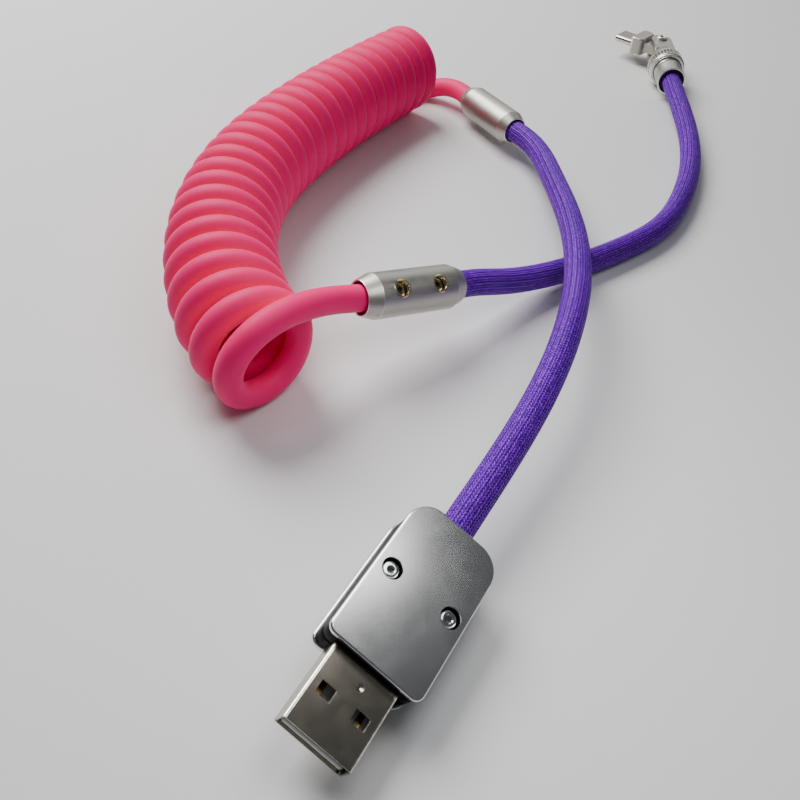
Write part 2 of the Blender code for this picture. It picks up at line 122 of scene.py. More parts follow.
desk_half = 3.0
desk_mesh = bpy.data.meshes.new("desk")
corners = [(x * desk_half, y * desk_half, 0) for x, y in ((-1, -1), (1, -1), (1, 1), (-1, 1))]
desk_mesh.from_pydata(corners, [], [(0, 1, 2, 3)])
desk = bpy.data.objects.new("desk", desk_mesh)
desk.data.materials.append(new_material("pale_desk", base_color=(0.78, 0.78, 0.79), roughness=0.6))
bpy.context.scene.collection.objects.link(desk)

room = bpy.data.worlds.new("pale_room")
room.use_nodes = True
room.node_tree.nodes["Background"].inputs["Color"].default_value = (0.80, 0.86, 0.95, 1.0)
room.node_tree.nodes["Background"].inputs["Strength"].default_value = 0.10
bpy.context.scene.world = room
lamp("key_lamp", (-0.34, 0.30, 0.50), (-0.02, -0.02, 0.0), 0.42, 6.8, (1.0, 0.985, 0.96))
lamp("plug_lamp", (-0.002, -0.088, 0.116), (-0.034, -0.117, 0.012), 0.07, 0.070)
lamp("back_lamp", (0.10, 0.75, 0.42), (0.0, 0.0, 0.0), 0.55, 0.9)


# ---- Pink cord
# One soft-touch TPU cord, 5.6 mm thick. It comes out of joiner 2, is wound on a rod into a
# left-handed coil of 26 and a half turns, baked to keep that shape, and goes into joiner 1.
CORD_R = 2.8
COIL_TURN_R = 9.5
COIL_TURNS = 26.5
COIL_LINE = (
    (-58.9, -71.6, 12.3), (-66.8, -64.3, 12.3), (-74.6, -51.0, 12.3), (-80.4, -30.5, 12.3),
    (-80.3, -6.0, 12.3), (-72.6, 21.0, 12.3), (-60.0, 48.5, 12.3), (-44.2, 76.5, 12.3),
)
TAIL_1_ROUTE = (
    (-39.0, 79.0, 3.2), (-35.2, 77.8, 4.8), (-31.2, 75.0, 6.0), (-27.9, 71.3, 6.3),
    (-25.7, 68.0, 6.2), (-20.55, 60.05, 6.65),
)
TAIL_2_ROUTE = (
    (-39.95, -48.3, 15.45), (-47.4, -53.9, 17.3), (-50.2, -56.1, 18.3), (-52.4, -58.2, 19.3),
)


def smooth_route(route, step):
    """Points about a step apart on a natural cubic spline through the route."""
    knots = np.array(route, float)
    count = len(knots)
    gaps = np.linalg.norm(np.diff(knots, axis=0), axis=1)
    at = np.concatenate(([0.0], np.cumsum(gaps)))
    matrix = np.eye(count)
    right = np.zeros((count, 3))
    for i in range(1, count - 1):
        before, after = gaps[i - 1], gaps[i]
        matrix[i, i - 1:i + 2] = before, 2 * (before + after), after
        slope_after = (knots[i + 1] - knots[i]) / after
        right[i] = 6 * (slope_after - (knots[i] - knots[i - 1]) / before)
    bend = np.linalg.solve(matrix, right)
    s = np.linspace(0.0, at[-1], max(2, round(at[-1] / step) + 1))
    i = np.minimum(np.searchsorted(at, s, side="right") - 1, count - 2)
    a, b = ((at[i + 1] - s) / gaps[i])[:, None], ((s - at[i]) / gaps[i])[:, None]
    curl = ((a ** 3 - a) * bend[i] + (b ** 3 - b) * bend[i + 1]) * gaps[i][:, None] ** 2 / 6
    return a * knots[i] + b * knots[i + 1] + curl


def lengths_along(path):
    """Distance from the start to each point of a path."""
    return np.concatenate(([0.0], np.cumsum(np.linalg.norm(np.diff(path, axis=0), axis=1))))


def evenly(path, step):
    """The same path with points an equal step apart."""
    run = lengths_along(path)
    at = np.linspace(0.0, run[-1], max(2, round(run[-1] / step) + 1))
    return np.stack([np.interp(at, run, path[:, k]) for k in range(3)], axis=1)


def frames_along(path):
    """Forward, side and up directions at each point, carried along without twist."""
    forward = np.gradient(path, axis=0)
    forward /= np.linalg.norm(forward, axis=1)[:, None]
    side = np.zeros_like(forward)
    side[0] = np.cross(forward[0], (0.0, 0.0, 1.0))
    for i in range(len(path)):
        carried = side[max(i - 1, 0)]
        carried = carried - forward[i] * carried.dot(forward[i])
        side[i] = carried / np.linalg.norm(carried)
    return forward, side, np.cross(side, forward)


def tube_faces(rings, sides):
    """Quads between the rings of a tube, and a cap on each end."""
    ring, around = np.meshgrid(np.arange(rings - 1) * sides, np.arange(sides), indexing="ij")
    beside = (around + 1) % sides
    quads = np.stack([ring + around, ring + beside, ring + sides + beside, ring + sides + around], -1)
    last = (rings - 1) * sides
    caps = [list(range(sides - 1, -1, -1)), list(range(last, last + sides))]
    return quads.reshape(-1, 4).tolist() + caps


def add_object(name, verts_mm, faces, material):
    """A smooth mesh object from points in millimetres."""
    mesh = bpy.data.meshes.new(name)
    mesh.from_pydata((np.array(verts_mm) * MM).tolist(), [], faces)
    mesh.shade_smooth()
    mesh.materials.append(material)
    made = bpy.data.objects.new(name, mesh)
    bpy.context.scene.collection.objects.link(made)
    return made


def wound_coil():
    """Centreline of the coil, from its near end at the top to its far end at the bottom."""
    line = evenly(smooth_route(COIL_LINE, 0.5), 0.5)
    run = lengths_along(line)
    points_per_turn, margin = 48, 3.0
    turns = np.arange(round(COIL_TURNS * points_per_turn) + 1) / points_per_turn
    # The first turns lie loose, the rest touch, and the last one opens again.
    pitch = np.interp(turns, (0, 2, 5, 14, 24, COIL_TURNS), (7.4, 6.6, 6.0, 5.8, 5.3, 6.4))
    travel = np.concatenate(([0.0], np.cumsum((pitch[1:] + pitch[:-1]) / 2)))
    scale = (run[-1] - 2 * margin) / travel[-1]
    at = margin + travel * scale
    centre = np.stack([np.interp(at, run, line[:, k]) for k in range(3)], axis=1)
    forward = np.gradient(centre, axis=0)
    forward /= np.linalg.norm(forward, axis=1)[:, None]
    up = np.array((0.0, 0.0, 1.0))
    side = np.cross(forward, up)
    angle = -2 * math.pi * turns[:, None]
    points = centre + COIL_TURN_R * (np.cos(angle) * up + np.sin(angle) * side)
    spacing = np.linalg.norm(points[points_per_turn:] - points[:-points_per_turn], axis=1)
    spacing = np.concatenate((spacing, np.repeat(spacing[-1:], points_per_turn)))
    back = np.concatenate((np.repeat(spacing[:1], points_per_turn), spacing[:-points_per_turn]))
    squeeze = np.minimum(1.0, np.minimum(spacing, back) / (2 * CORD_R) * 1.02)
    return points, forward, squeeze


# Fine powdery grain and slow patches, shared by the cord, the metals and the plastics.
def surface_grain():
    """Group: grain of a given size, and large soft patches, both from 0 to 1."""
    group = bpy.data.node_groups.new("surface_grain", "ShaderNodeTree")
    for name, size in (("Grain Size", 0.15), ("Patch Size", 6.0)):
        socket = group.interface.new_socket(name, in_out="INPUT", socket_type="NodeSocketFloat")
        socket.default_value = size
    for name in ("Grain", "Patches"):
        group.interface.new_socket(name, in_out="OUTPUT", socket_type="NodeSocketFloat")
    source, result = group.nodes.new("NodeGroupInput"), group.nodes.new("NodeGroupOutput")
    where = shader_node(group, "TexCoord")
    for name, size, detail in (("Grain", "Grain Size", 3.0), ("Patches", "Patch Size", 2.0)):
        per_metre = maths(group, "DIVIDE", 1 / MM, source.outputs[size])
        noise = shader_node(group, "TexNoise", {
            "Vector": where.outputs["Object"], "Scale": per_metre, "Detail": detail})
        group.links.new(noise.outputs["Fac"], result.inputs[name])
    return group


SURFACE_GRAIN = surface_grain()


def grain_node(tree, grain_mm, patch_mm=6.0):
    """Put the surface_grain group in a material, with its own sizes."""
    grain = shader_node(tree, "Group")
    grain.node_tree = SURFACE_GRAIN
    grain.inputs["Grain Size"].default_value = grain_mm
    grain.inputs["Patch Size"].default_value = patch_mm
    return grain


def grainy_material(name, colour, colour_spread, roughness, grain_mm, depth_mm, **sockets):
    """A finish with grain in relief, and patches that vary its colour and roughness a little."""
    material = new_material(name, **sockets)
    tree = material.node_tree
    shader = tree.nodes["Principled BSDF"]
    grain = grain_node(tree, grain_mm)
    low = [c * (1 - colour_spread) for c in colour]
    high = [min(1.0, c * (1 + colour_spread)) for c in colour]
    both = maths(tree, "ADD", grain.outputs["Grain"], grain.outputs["Patches"])
    tone = blended_colour(tree, maths(tree, "MULTIPLY", both, 0.5), low, high)
    tree.links.new(tone, shader.inputs["Base Color"])
    rough = shader_node(tree, "MapRange", {
        "Value": grain.outputs["Patches"], "To Min": roughness[0], "To Max": roughness[1]})
    tree.links.new(rough.outputs["Result"], shader.inputs["Roughness"])
    bump = shader_node(tree, "Bump", {
        "Height": grain.outputs["Grain"], "Distance": depth_mm * MM, "Strength": 1.0})
    tree.links.new(bump.outputs["Normal"], shader.inputs["Normal"])
    return material


pink_tpu = grainy_material(
    "pink_soft_touch", (1.0, 0.004, 0.17), 0.07, (0.50, 0.60), grain_mm=0.16, depth_mm=0.02,
    specular_ior_level=0.22, sheen_weight=0.06, sheen_roughness=0.4)

coil_points, coil_forward, coil_squeeze = wound_coil()
skip = 5                        # points of the coil that the spline into it may round off
entry = smooth_route((*TAIL_2_ROUTE, *coil_points[skip:skip + 12:3]), 0.8)
entry_end = int(np.argmin(np.linalg.norm(entry - coil_points[skip], axis=1)))
leave = smooth_route((*coil_points[-skip - 10:-skip + 1:3], *TAIL_1_ROUTE), 0.8)
leave_start = int(np.argmin(np.linalg.norm(leave - coil_points[-skip], axis=1)))
inner_coil = slice(skip + 1, len(coil_points) - skip)
pink_path = np.concatenate((
    entry[:entry_end], coil_points[inner_coil], leave[leave_start + 1:]))
pink_path[:, 2] = np.maximum(pink_path[:, 2], CORD_R)      # it lies on the desk, not in it
squeeze = np.concatenate((
    np.ones(entry_end), coil_squeeze[inner_coil], np.ones(len(leave) - leave_start - 1)))
axis = np.concatenate((
    np.repeat(coil_forward[:1], entry_end, axis=0), coil_forward[inner_coil],
    np.repeat(coil_forward[-1:], len(leave) - leave_start - 1, axis=0)))

cord_sides = 24
_, cord_side, cord_up = frames_along(pink_path)
turn = np.linspace(0, 2 * math.pi, cord_sides, endpoint=False)[None, :, None]
spoke = CORD_R * (np.cos(turn) * cord_side[:, None] + np.sin(turn) * cord_up[:, None])
lengthwise = np.sum(spoke * axis[:, None], axis=2, keepdims=True)
spoke += (squeeze[:, None, None] - 1) * lengthwise * axis[:, None]
cord_verts = (pink_path[:, None] + spoke).reshape(-1, 3)
pink_cord = add_object("pink_cord", cord_verts, tube_faces(len(pink_path), cord_sides), pink_tpu)
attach(pink_cord, "cable")
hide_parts("coil", "coil_tail_1", "coil_tail_2")


# ---- Braided sleeves
# Purple nylon yarn, braided two over and two under on 64 carriers straight onto the inner
# cable. Its floats lie in 32 lengthwise ribs that lean left and right by turns.
SLEEVE_R = 3.0
SLEEVE_RIBS = 32
FILAMENTS = 3                   # in each float
STITCH = 0.70                   # distance between two floats along a rib
FLOAT_SLANT = 0.75              # run of a float along the sleeve, in stitches
GROOVE_DEEP, DIVE_DEEP = 0.30, 0.17     # between two ribs, and where a float goes under
SLEEVE_A_ROUTE = (
    (-27.5, -105.6, 8.5), (-26.2, -102.95, 8.6), (-24.5, -99.5, 8.8), (-8.6, -65.0, 12.8),
    (-2.6, -42.0, 15.2), (-1.0, -17.0, 14.4), (-3.6, 18.0, 10.2), (-9.9, 43.65, 7.6),
    (-12.1, 47.0, 7.4), (-17.3, 55.0, 6.95),
)
SLEEVE_B_ROUTE = (
    (-35.25, -44.8, 14.25), (-27.8, -39.2, 12.4), (-24.3, -36.5, 11.5), (-17.4, -30.6, 8.5),
    (-4.7, -19.9, 4.7), (14.5, -3.4, 3.2), (24.8, 7.0, 3.2), (35.5, 27.0, 3.5), (41.4, 48.0, 4.0),
    (43.6, 72.0, 5.0), (43.2, 95.0, 6.2), (43.2, 99.6, 6.3), (43.2, 107.2, 6.3),
)


def float_crown(tree, rib, stitch):
    """Where a point is across its rib, whether the rib leans left, and its float's height."""
    leans_left = maths(tree, "GREATER_THAN", maths(tree, "FLOORED_MODULO", rib, 2.0), 1.0)
    slant = shader_node(tree, "MapRange", {
        "Value": leans_left, "To Min": -FLOAT_SLANT, "To Max": FLOAT_SLANT})
    across = maths(tree, "FRACT", rib)
    from_middle = maths(tree, "SUBTRACT", across, 0.5)
    along = maths(tree, "MULTIPLY_ADD", from_middle, slant.outputs["Result"], stitch)
    humps = []
    for place, sharpness in ((maths(tree, "FRACT", along), 1.6), (across, 0.75)):
        hump = maths(tree, "SINE", maths(tree, "MULTIPLY", place, math.pi))
        humps.append(maths(tree, "POWER", hump, sharpness))
    return across, leans_left, maths(tree, "MULTIPLY", *humps)


def yarn_material():
    """Glossy nylon with its filaments in relief, and painted highlights on float crowns and painted
    shade where floats dive under.
    """
    material = new_material(
        "purple_nylon", specular_ior_level=0.4, specular_tint=(0.50, 0.16, 1.0))
    tree = material.node_tree
    shader = tree.nodes["Principled BSDF"]
    lay = shader_node(tree, "UVMap", uv_map="lay")
    parts = shader_node(tree, "SeparateXYZ", {"Vector": lay.outputs["UV"]})
    across, leans_left, crown = float_crown(tree, parts.outputs["X"], parts.outputs["Y"])
    filaments = maths(tree, "SINE", maths(tree, "MULTIPLY", across, 2 * math.pi * FILAMENTS))
    grain = grain_node(tree, 0.5, 9.0)
    # Random noise lightens some floats and darkens others. This is uneven yarn, with painted glints on
    # the lightest floats.
    uneven_yarn_and_glints = maths(tree, "MULTIPLY_ADD", grain.outputs["Grain"], 1.5, -0.75)
    # Painted light: a painted highlight on each float's crown, and painted shade where it dives under.
    tone = maths(tree, "MULTIPLY_ADD", crown, 0.80, uneven_yarn_and_glints)
    # Painted shade between the filaments.
    tone = maths(tree, "MULTIPLY_ADD", filaments, 0.06, tone)
    # The ribs that lean left are dyed like the rest and get a darker painted sheen.
    tone = maths(tree, "MULTIPLY_ADD", leans_left, -0.12, tone)
    # The ramp runs from painted shade, through the yarn's own purple, to a painted highlight.
    ramp = shader_node(tree, "ValToRGB", {"Fac": tone})
    dark, bright = ramp.color_ramp.elements
    dark.position, dark.color = 0.12, (0.022, 0.0, 0.11, 1)
    bright.position, bright.color = 0.82, (0.54, 0.07, 1.0, 1)
    middle = ramp.color_ramp.elements.new(0.48)
    middle.color = (0.15, 0.0, 0.64, 1)
    tree.links.new(ramp.outputs["Color"], shader.inputs["Base Color"])
    rough = shader_node(tree, "MapRange", {
        "Value": grain.outputs["Grain"], "To Min": 0.22, "To Max": 0.40})
    tree.links.new(rough.outputs["Result"], shader.inputs["Roughness"])
    relief = maths(tree, "MULTIPLY_ADD", filaments, 0.12, crown)
    bump = shader_node(tree, "Bump", {"Height": relief, "Distance": 0.10 * MM, "Strength": 0.8})
    tree.links.new(bump.outputs["Normal"], shader.inputs["Normal"])
    return material


purple_nylon = yarn_material()


def braided_sleeve(name, node, route):
    """A closed skin on the floats, with three rows of points to a stitch and three to a rib."""
    path = evenly(smooth_route(route, 0.5), STITCH / 3)
    _, side, up = frames_along(path)
    rows, columns = len(path), 3 * SLEEVE_RIBS
    column = np.arange(columns)
    rib, part = column // 3, column % 3
    leans = np.where(rib % 2 == 0, 1.0, -1.0)
    groove, flank = part == 0, 0.2
    across = rib + np.choose(part, (0.0, flank, 1 - flank))
    angle = 2 * math.pi * across / SLEEVE_RIBS
    dive = (np.arange(rows) % 3 == 0)[:, None] & ~groove[None]
    radius = np.where(groove, SLEEVE_R - GROOVE_DEEP, SLEEVE_R)[None] - DIVE_DEEP * dive
    slide = np.where(groove, 0.0, (across % 1 - 0.5) * leans) * STITCH * FLOAT_SLANT
    forward = np.gradient(path, axis=0)
    forward /= np.linalg.norm(forward, axis=1)[:, None]
    out = np.cos(angle)[None, :, None] * side[:, None] + np.sin(angle)[None, :, None] * up[:, None]
    verts = path[:, None] + radius[..., None] * out + slide[None, :, None] * forward[:, None]
    sleeve = add_object(name, verts.reshape(-1, 3), tube_faces(rows, columns), purple_nylon)
    index = np.zeros(len(sleeve.data.loops), np.int32)
    sleeve.data.loops.foreach_get("vertex_index", index)
    u, v = across[index % columns], (index // columns) / 3.0
    quads = u[:4 * (rows - 1) * columns].reshape(-1, 4)
    last_to_first = ((quads.max(1) - quads.min(1)) > 2)[:, None]
    quads += SLEEVE_RIBS * (last_to_first & (quads < 2))
    lay = sleeve.data.uv_layers.new(name="lay")
    lay.data.foreach_set("uv", np.stack((u, v), 1).ravel().astype(np.float32))
    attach(sleeve, "cable")
    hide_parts(node)


braided_sleeve("braid_a", "sleeve_a", SLEEVE_A_ROUTE)
braided_sleeve("braid_b", "sleeve_b", SLEEVE_B_ROUTE)


# ---- Shell of the USB-A plug
# A nickel-plated steel strip, 0.3 mm thick, folded round and closed by a straight seam below.
# It has two windows above and two below for the socket's springs, and a punched dimple.
USB_A_PLACE, USB_A_TURN = (-44.3, -137.6, 4.8), (2.3, 24.5, -26.1)
SHELL_W, SHELL_H, SHELL_WALL, SHELL_LEN, SHELL_OUT = 12.0, 4.5, 0.3, 18.5, 12.2
EDGE_STRIP = 0.15               # faces narrower than this are eased edges, where wear shows
# Turns a slab so that its outline lies in x and z and its length runs along y.
SWAP_Y_Z = Matrix(((1, 0, 0, 0), (0, 0, 1, 0), (0, 1, 0, 0), (0, 0, 0, 1)))


def placed(place, turn=(0.0, 0.0, 0.0)):
    """Where a group of pieces lies: turned about Y, then X, then Z, in degrees."""
    matrix = Matrix.Translation(Vector(place))
    for axis, angle in (("Z", turn[2]), ("X", turn[0]), ("Y", turn[1])):
        matrix = matrix @ Matrix.Rotation(math.radians(angle), 4, axis)
    return matrix


def rounded_outline(width, y_from, y_to, front_r, rear_r, steps=16):
    """Points of a rectangle with round corners, front corners first, anticlockwise."""
    corners = (
        (width / 2 - front_r, y_from + front_r, front_r, -90),
        (width / 2 - rear_r, y_to - rear_r, rear_r, 0),
        (-width / 2 + rear_r, y_to - rear_r, rear_r, 90),
        (-width / 2 + front_r, y_from + front_r, front_r, 180),
    )
    points = []
    for x, y, radius, first in corners:
        for step in range(steps + 1):
            angle = math.radians(first + 90 * step / steps)
            points.append((x + radius * math.cos(angle), y + radius * math.sin(angle)))
    return points


def slab(outline, z_from, z_to):
    """A flat shape: an outline in x and y, extruded from z_from to z_to."""
    shape = bmesh.new()
    face = shape.faces.new([shape.verts.new((x, y, z_from)) for x, y in outline])
    raised = bmesh.ops.extrude_face_region(shape, geom=[face])["geom"]
    bmesh.ops.translate(
        shape, verts=[v for v in raised if isinstance(v, bmesh.types.BMVert)],
        vec=(0, 0, z_to - z_from))
    return shape


def block(x_from, x_to, y_from, y_to, z_from, z_to):
    """A box."""
    return slab(((x_from, y_from), (x_to, y_from), (x_to, y_to), (x_from, y_to)), z_from, z_to)


def turned(profile, sides=96, closed=True):
    """A profile of (radius, y) points spun about Y. A closed profile makes a ring."""
    shape = bmesh.new()
    verts = [shape.verts.new((radius, y, 0)) for radius, y in profile]
    pairs = list(zip(verts, verts[1:])) + ([(verts[-1], verts[0])] if closed else [])
    edges = [shape.edges.new(pair) for pair in pairs]
    bmesh.ops.spin(
        shape, geom=verts + edges, cent=(0, 0, 0), axis=(0, 1, 0), angle=2 * math.pi,
        steps=sides, use_merge=True)
    bmesh.ops.remove_doubles(shape, verts=shape.verts, dist=0.002)
    return shape


def rod(radius, length, sides=48):
    """A cylinder from the origin along +Y."""
    return turned(((0, 0), (radius, 0), (radius, length), (0, length)), sides, closed=False)


def upright(shape, x=0.0, y=0.0, z=0.0):
    """Turn a shape made along +Y so that it stands along +Z at x, y, z."""
    shape.transform(Matrix.Translation((x, y, z)) @ Matrix.Rotation(math.pi / 2, 4, "X"))
    return shape


def raw_object(shape):
    """A throwaway object, in millimetres, that holds a shape."""
    bmesh.ops.recalc_face_normals(shape, faces=shape.faces)
    mesh = bpy.data.meshes.new("work")
    shape.to_mesh(mesh)
    shape.free()
    made = bpy.data.objects.new("work", mesh)
    bpy.context.scene.collection.objects.link(made)
    return made


def make_piece(name, shape, steps, place, material, body, slot, *nodes):
    """Cut, join and ease a shape, put it in its place and let it stand for its CAD nodes.

    A step is ("cut" or "add" or "keep", shapes) or ("ease", width, segments, angle).
    """
    work = raw_object(shape)
    tools = []
    for kind, *rest in steps:
        if kind == "ease":
            bevel = work.modifiers.new("ease", "BEVEL")
            bevel.width, bevel.segments = rest[0], rest[1]
            bevel.limit_method, bevel.angle_limit = "ANGLE", math.radians(rest[2])
            continue
        for tool_shape in rest[0]:
            tools.append(raw_object(tool_shape))
            boolean = work.modifiers.new(kind, "BOOLEAN")
            boolean.operation = {"cut": "DIFFERENCE", "add": "UNION", "keep": "INTERSECT"}[kind]
            boolean.solver = "EXACT"
            boolean.object = tools[-1]
    mesh = bpy.data.meshes.new_from_object(
        work.evaluated_get(bpy.context.evaluated_depsgraph_get()))
    for used in (work, *tools):
        bpy.data.objects.remove(used)
    mesh.name = name
    mesh.transform(Matrix.Scale(MM, 4) @ place)
    mesh.shade_smooth()
    mesh.set_sharp_from_angle(angle=math.radians(33))
    mesh.materials.clear()
    mesh.materials.append(material)
    narrow = mesh.attributes.new("eased_edge", "FLOAT", "FACE")
    for face, mark in zip(mesh.polygons, narrow.data):
        corners = [mesh.vertices[i].co for i in face.vertices]
        rim = sum((a - b).length for a, b in zip(corners, corners[1:] + corners[:1]))
        mark.value = float(2 * face.area < EDGE_STRIP * MM * rim)
    piece = bpy.data.objects.new(name, mesh)
    bpy.context.scene.collection.objects.link(piece)
    weighted = piece.modifiers.new("flat_faces_stay_flat", "WEIGHTED_NORMAL")
    weighted.keep_sharp = True
    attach(piece, body)
    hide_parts(*nodes)
    return piece


# Marks of use on the metals: bright worn edges, fine hair scratches and finger smudges.
def handling_marks():
    """Group: masks from 0 to 1 for worn edges, hair scratches and smudges."""
    group = bpy.data.node_groups.new("handling_marks", "ShaderNodeTree")
    group.interface.new_socket("Scratch Amount", in_out="INPUT", socket_type="NodeSocketFloat")
    for name in ("Worn Edges", "Scratches", "Smudges"):
        group.interface.new_socket(name, in_out="OUTPUT", socket_type="NodeSocketFloat")
    source, result = group.nodes.new("NodeGroupInput"), group.nodes.new("NodeGroupOutput")
    edges = shader_node(group, "Attribute", attribute_name="eased_edge")
    where = shader_node(group, "TexCoord")
    nicks = shader_node(group, "TexNoise", {
        "Vector": where.outputs["Object"], "Scale": 2600.0, "Detail": 2.0})
    broken = shader_node(group, "MapRange", {
        "Value": nicks.outputs["Fac"], "From Min": 0.35, "From Max": 0.6, "To Min": 0.3})
    worn = maths(group, "MULTIPLY", edges.outputs["Fac"], broken.outputs["Result"])
    group.links.new(worn, result.inputs["Worn Edges"])
    both = []
    for turn, squash in ((0.5, (5200.0, 120.0, 120.0)), (2.1, (4200.0, 100.0, 100.0))):
        lay = shader_node(group, "Mapping", {
            "Vector": where.outputs["Object"], "Rotation": (0.2, 0.1, turn), "Scale": squash})
        hair = shader_node(group, "TexNoise", {
            "Vector": lay.outputs["Vector"], "Scale": 1.0, "Detail": 1.0})
        line = shader_node(group, "MapRange", {
            "Value": hair.outputs["Fac"], "From Min": 0.66, "From Max": 0.74})
        both.append(line.outputs["Result"])
    lines = maths(group, "MAXIMUM", *both)
    scratches = maths(group, "MULTIPLY", lines, source.outputs["Scratch Amount"])
    group.links.new(scratches, result.inputs["Scratches"])
    touch = shader_node(group, "TexNoise", {
        "Vector": where.outputs["Object"], "Scale": 230.0, "Detail": 4.0, "Distortion": 0.6})
    smudge = shader_node(group, "MapRange", {
        "Value": touch.outputs["Fac"], "From Min": 0.4, "From Max": 0.7})
    group.links.new(smudge.outputs["Result"], result.inputs["Smudges"])
    return group


HANDLING_MARKS = handling_marks()


def metal(name, colour, worn_colour, roughness, grain_mm, depth_mm, scratches=0.4, **sockets):
    """A metal with blasted or rolled grain in relief, worn edges, scratches and smudges."""
    material = new_material(name, metallic=1.0, **sockets)
    tree = material.node_tree
    shader = tree.nodes["Principled BSDF"]
    grain, marks = grain_node(tree, grain_mm), shader_node(tree, "Group")
    marks.node_tree = HANDLING_MARKS
    marks.inputs["Scratch Amount"].default_value = scratches
    low = [c * 0.93 for c in colour]
    high = [min(1.0, c * 1.05) for c in colour]
    tone = blended_colour(tree, grain.outputs["Patches"], low, high)
    worn = blended_colour(tree, marks.outputs["Worn Edges"], tone, worn_colour)
    tree.links.new(worn, shader.inputs["Base Color"])
    rough = shader_node(tree, "MapRange", {
        "Value": marks.outputs["Smudges"], "To Min": roughness[0], "To Max": roughness[1]})
    polished = maths(tree, "MULTIPLY_ADD", marks.outputs["Worn Edges"], -0.08, rough.outputs["Result"])
    scored = maths(tree, "MULTIPLY_ADD", marks.outputs["Scratches"], 0.08, polished)
    tree.links.new(scored, shader.inputs["Roughness"])
    relief = maths(tree, "MULTIPLY_ADD", marks.outputs["Scratches"], -0.3, grain.outputs["Grain"])
    bump = shader_node(tree, "Bump", {
        "Height": relief, "Distance": depth_mm * MM, "Strength": 1.0})
    tree.links.new(bump.outputs["Normal"], shader.inputs["Normal"])
    return material


plug_steel = metal(
    "nickel_plated_steel", (0.34, 0.31, 0.255), (0.80, 0.76, 0.68), (0.22, 0.27),
    grain_mm=0.5, depth_mm=0.0015, scratches=0.2)

usb_a = placed(USB_A_PLACE, USB_A_TURN)
outer_r = 0.6
inner_r = outer_r - SHELL_WALL
shell_body = slab(rounded_outline(SHELL_W, 0, SHELL_H, outer_r, outer_r, 8), 0, SHELL_LEN)
shell_hollow = slab(rounded_outline(
    SHELL_W - 2 * SHELL_WALL, SHELL_WALL, SHELL_H - SHELL_WALL, inner_r, inner_r, 8),
    -1, SHELL_LEN + 1)
for shape in (shell_body, shell_hollow):
    shape.transform(SWAP_Y_Z)
window_w, window_l, window_x, window_y, window_r = 2.5, 2.0, 3.07, 5.1, 0.15
windows = []
for side in (-1, 1):
    window = slab(rounded_outline(
        window_w, window_y, window_y + window_l, window_r, window_r, 6), -1, SHELL_H + 1)
    window.transform(Matrix.Translation((side * window_x, 0, 0)))
    windows.append(window)
dimple, punch_r, dimple_deep = bmesh.new(), 1.2, 0.18
bmesh.ops.create_uvsphere(dimple, u_segments=48, v_segments=32, radius=punch_r)
dimple.transform(Matrix.Translation((0.6, 9.6, SHELL_H + punch_r - dimple_deep)))
seam_w, seam_deep = 0.07, 0.1
seam = block(-seam_w / 2, seam_w / 2, -1, SHELL_LEN + 1, -1, seam_deep)
make_piece(
    "shell_of_usb_a", shell_body,
    [("cut", [shell_hollow]), ("ease", 0.05, 2, 60), ("cut", [*windows, dimple, seam]),
     ("ease", 0.03, 2, 60)],
    usb_a, plug_steel, "cable", "plug_steel", "usb_a_shell")


# ---- Clamshell of the USB-A plug
# Two milled and bead-blasted aluminium plates lie on a glossy black moulded core in two
# halves. Two pan-head screws with hexagon sockets sit deep in the holes and pull all four together.
BODY_W, BODY_LEN, BODY_MID, BODY_H, PLATE_T = 17.0, 27.0, 2.45, 8.8, 1.0
FRONT_R, REAR_R = 1.5, 4.5
SCREW_X, SCREW_Y, SCREW_HOLE_R = 5.7, 25.7, 1.75
BODY_REAR = SHELL_OUT + BODY_LEN
BODY_TOP, BODY_BOTTOM = BODY_MID + BODY_H / 2, BODY_MID - BODY_H / 2

satin_aluminium = metal(
    "satin_aluminium_plate", (0.62, 0.62, 0.61), (0.93, 0.93, 0.92), (0.21, 0.24),
    grain_mm=0.07, depth_mm=0.0003, scratches=0.15)
screw_steel = metal(
    "bright_screw_steel", (0.62, 0.62, 0.61), (0.88, 0.88, 0.87), (0.12, 0.20),
    grain_mm=0.2, depth_mm=0.001, scratches=0.5)
black_plastic = grainy_material(
    "glossy_black_plastic", (0.004, 0.004, 0.005), 0.15, (0.30, 0.38), grain_mm=0.4,
    depth_mm=0.001, specular_ior_level=0.025)


def screw_holes(radius, z_from, z_to):
    """Shapes to cut away for the two clamshell screws."""
    return [upright(rod(radius, z_to - z_from), side * SCREW_X, SCREW_Y, z_from)
            for side in (-1, 1)]


plate_outline = rounded_outline(BODY_W, SHELL_OUT, BODY_REAR, FRONT_R, REAR_R)
for name, node, z_from, hole_r in (
        ("upper_plate", "usb_a_top_plate", BODY_TOP - PLATE_T, SCREW_HOLE_R),
        ("lower_plate", "usb_a_bottom_plate", BODY_BOTTOM, 1.15)):
    make_piece(
        name, slab(plate_outline, z_from, z_from + PLATE_T),
        [("ease", 0.34, 5, 50), ("cut", screw_holes(hole_r, z_from - 1, z_from + 2)),
         ("ease", 0.09, 3, 60)],
        usb_a, satin_aluminium, "cable", "satin_aluminium", node)

